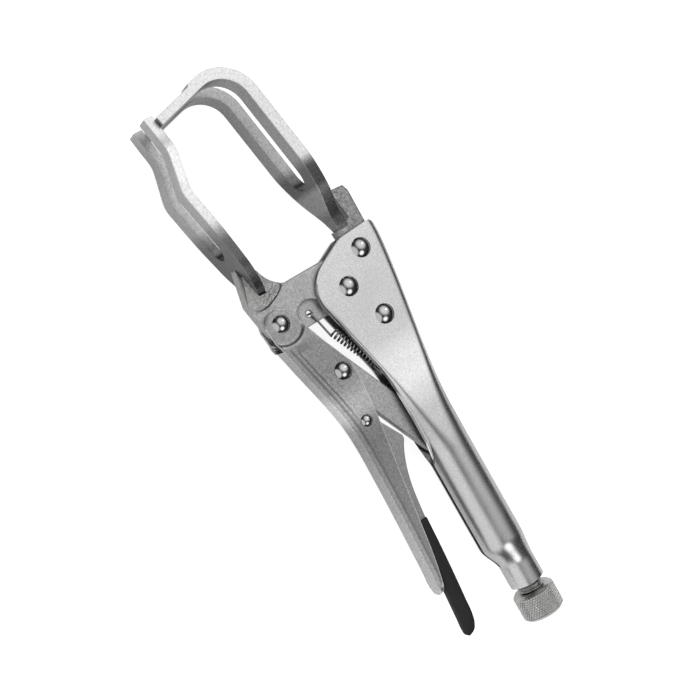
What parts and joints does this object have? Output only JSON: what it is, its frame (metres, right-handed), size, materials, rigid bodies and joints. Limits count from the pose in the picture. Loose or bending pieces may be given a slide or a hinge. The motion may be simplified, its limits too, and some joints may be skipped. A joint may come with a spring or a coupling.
{
  "type": "locking c clamp",
  "caption": "Locking C clamp with two forked welding jaws, an over-centre toggle handle, a release lever with a dipped sleeve, and a knurled adjusting screw.",
  "frame": {"origin": "the clamping point, midway between the upper fork's two tips and the lower fork's face, on the clamp's mid-plane", "axes": "+X along the adjusting screw from the knob towards the jaws, +Y from the fixed handle towards the lower handle, +Z along the rivets towards the near side"},
  "size_m": [0.2786, 0.0737, 0.038],
  "materials": {
    "handle_steel": "satin pearl nickel plate",
    "forged_steel": "nickel plate over a rough forged skin",
    "fork_steel": "satin nickel plate, brighter on the sheared sides",
    "weld_metal": "plated weld bead",
    "rivet_steel": "polished domed head",
    "spring_steel": "plain spring wire",
    "dipped_grip": "matte dipped plastic",
    "screw_steel": "dull plated, knurled knob"
  },
  "bodies": {
    "root": {"fixed_handle": "handle_steel", "fixed_jaw_root": "forged_steel", "fixed_jaw_fork": "fork_steel", "fixed_jaw_weld": "weld_metal", "front_rivet": "rivet_steel", "rear_rivet": "rivet_steel", "jaw_pivot_rivet": "rivet_steel", "return_spring": "spring_steel"},
    "movable_jaw": {"movable_jaw_plate": "forged_steel", "movable_jaw_fork": "fork_steel", "movable_jaw_weld": "weld_metal"},
    "handle_lever": {"lower_handle": "handle_steel", "lower_handle_rivet": "rivet_steel", "link_rivet": "rivet_steel", "lever_rivet": "rivet_steel"},
    "link": {"toggle_link": "forged_steel"},
    "release": {"release_lever": "handle_steel", "lever_sleeve": "dipped_grip"},
    "screw": {"adjusting_screw": "screw_steel"}
  },
  "joints": [
    {"name": "jaw_pivot", "type": "hinge", "parent": "root", "child": "movable_jaw", "pos_m": [-0.0974, -0.0408, 0], "axis": [0, 0, 1], "range_deg": [0, 28], "deforming": ["return_spring"]},
    {"name": "handle_pivot", "type": "hinge", "parent": "movable_jaw", "child": "handle_lever", "pos_m": [-0.0965, -0.0055, 0], "axis": [0, 0, 1], "range_deg": [-74.3, 0]},
    {"name": "link_pivot", "type": "hinge", "parent": "handle_lever", "child": "link", "pos_m": [-0.1271, -0.019, 0], "axis": [0, 0, 1], "range_deg": [0, 78.8]},
    {"name": "release_pivot", "type": "hinge", "parent": "handle_lever", "child": "release", "pos_m": [-0.1507, -0.0169, 0], "axis": [0, 0, 1], "range_deg": [0, 3]},
    {"name": "screw_travel", "type": "slide", "parent": "root", "child": "screw", "axis": [-1, 0, 0], "range_m": [0, 0.02]}
  ],
  "couplings": [
    {"joint": "handle_pivot", "follows": "jaw_pivot", "ratio": -2.653},
    {"joint": "link_pivot", "follows": "jaw_pivot", "ratio": 2.814}
  ]
}
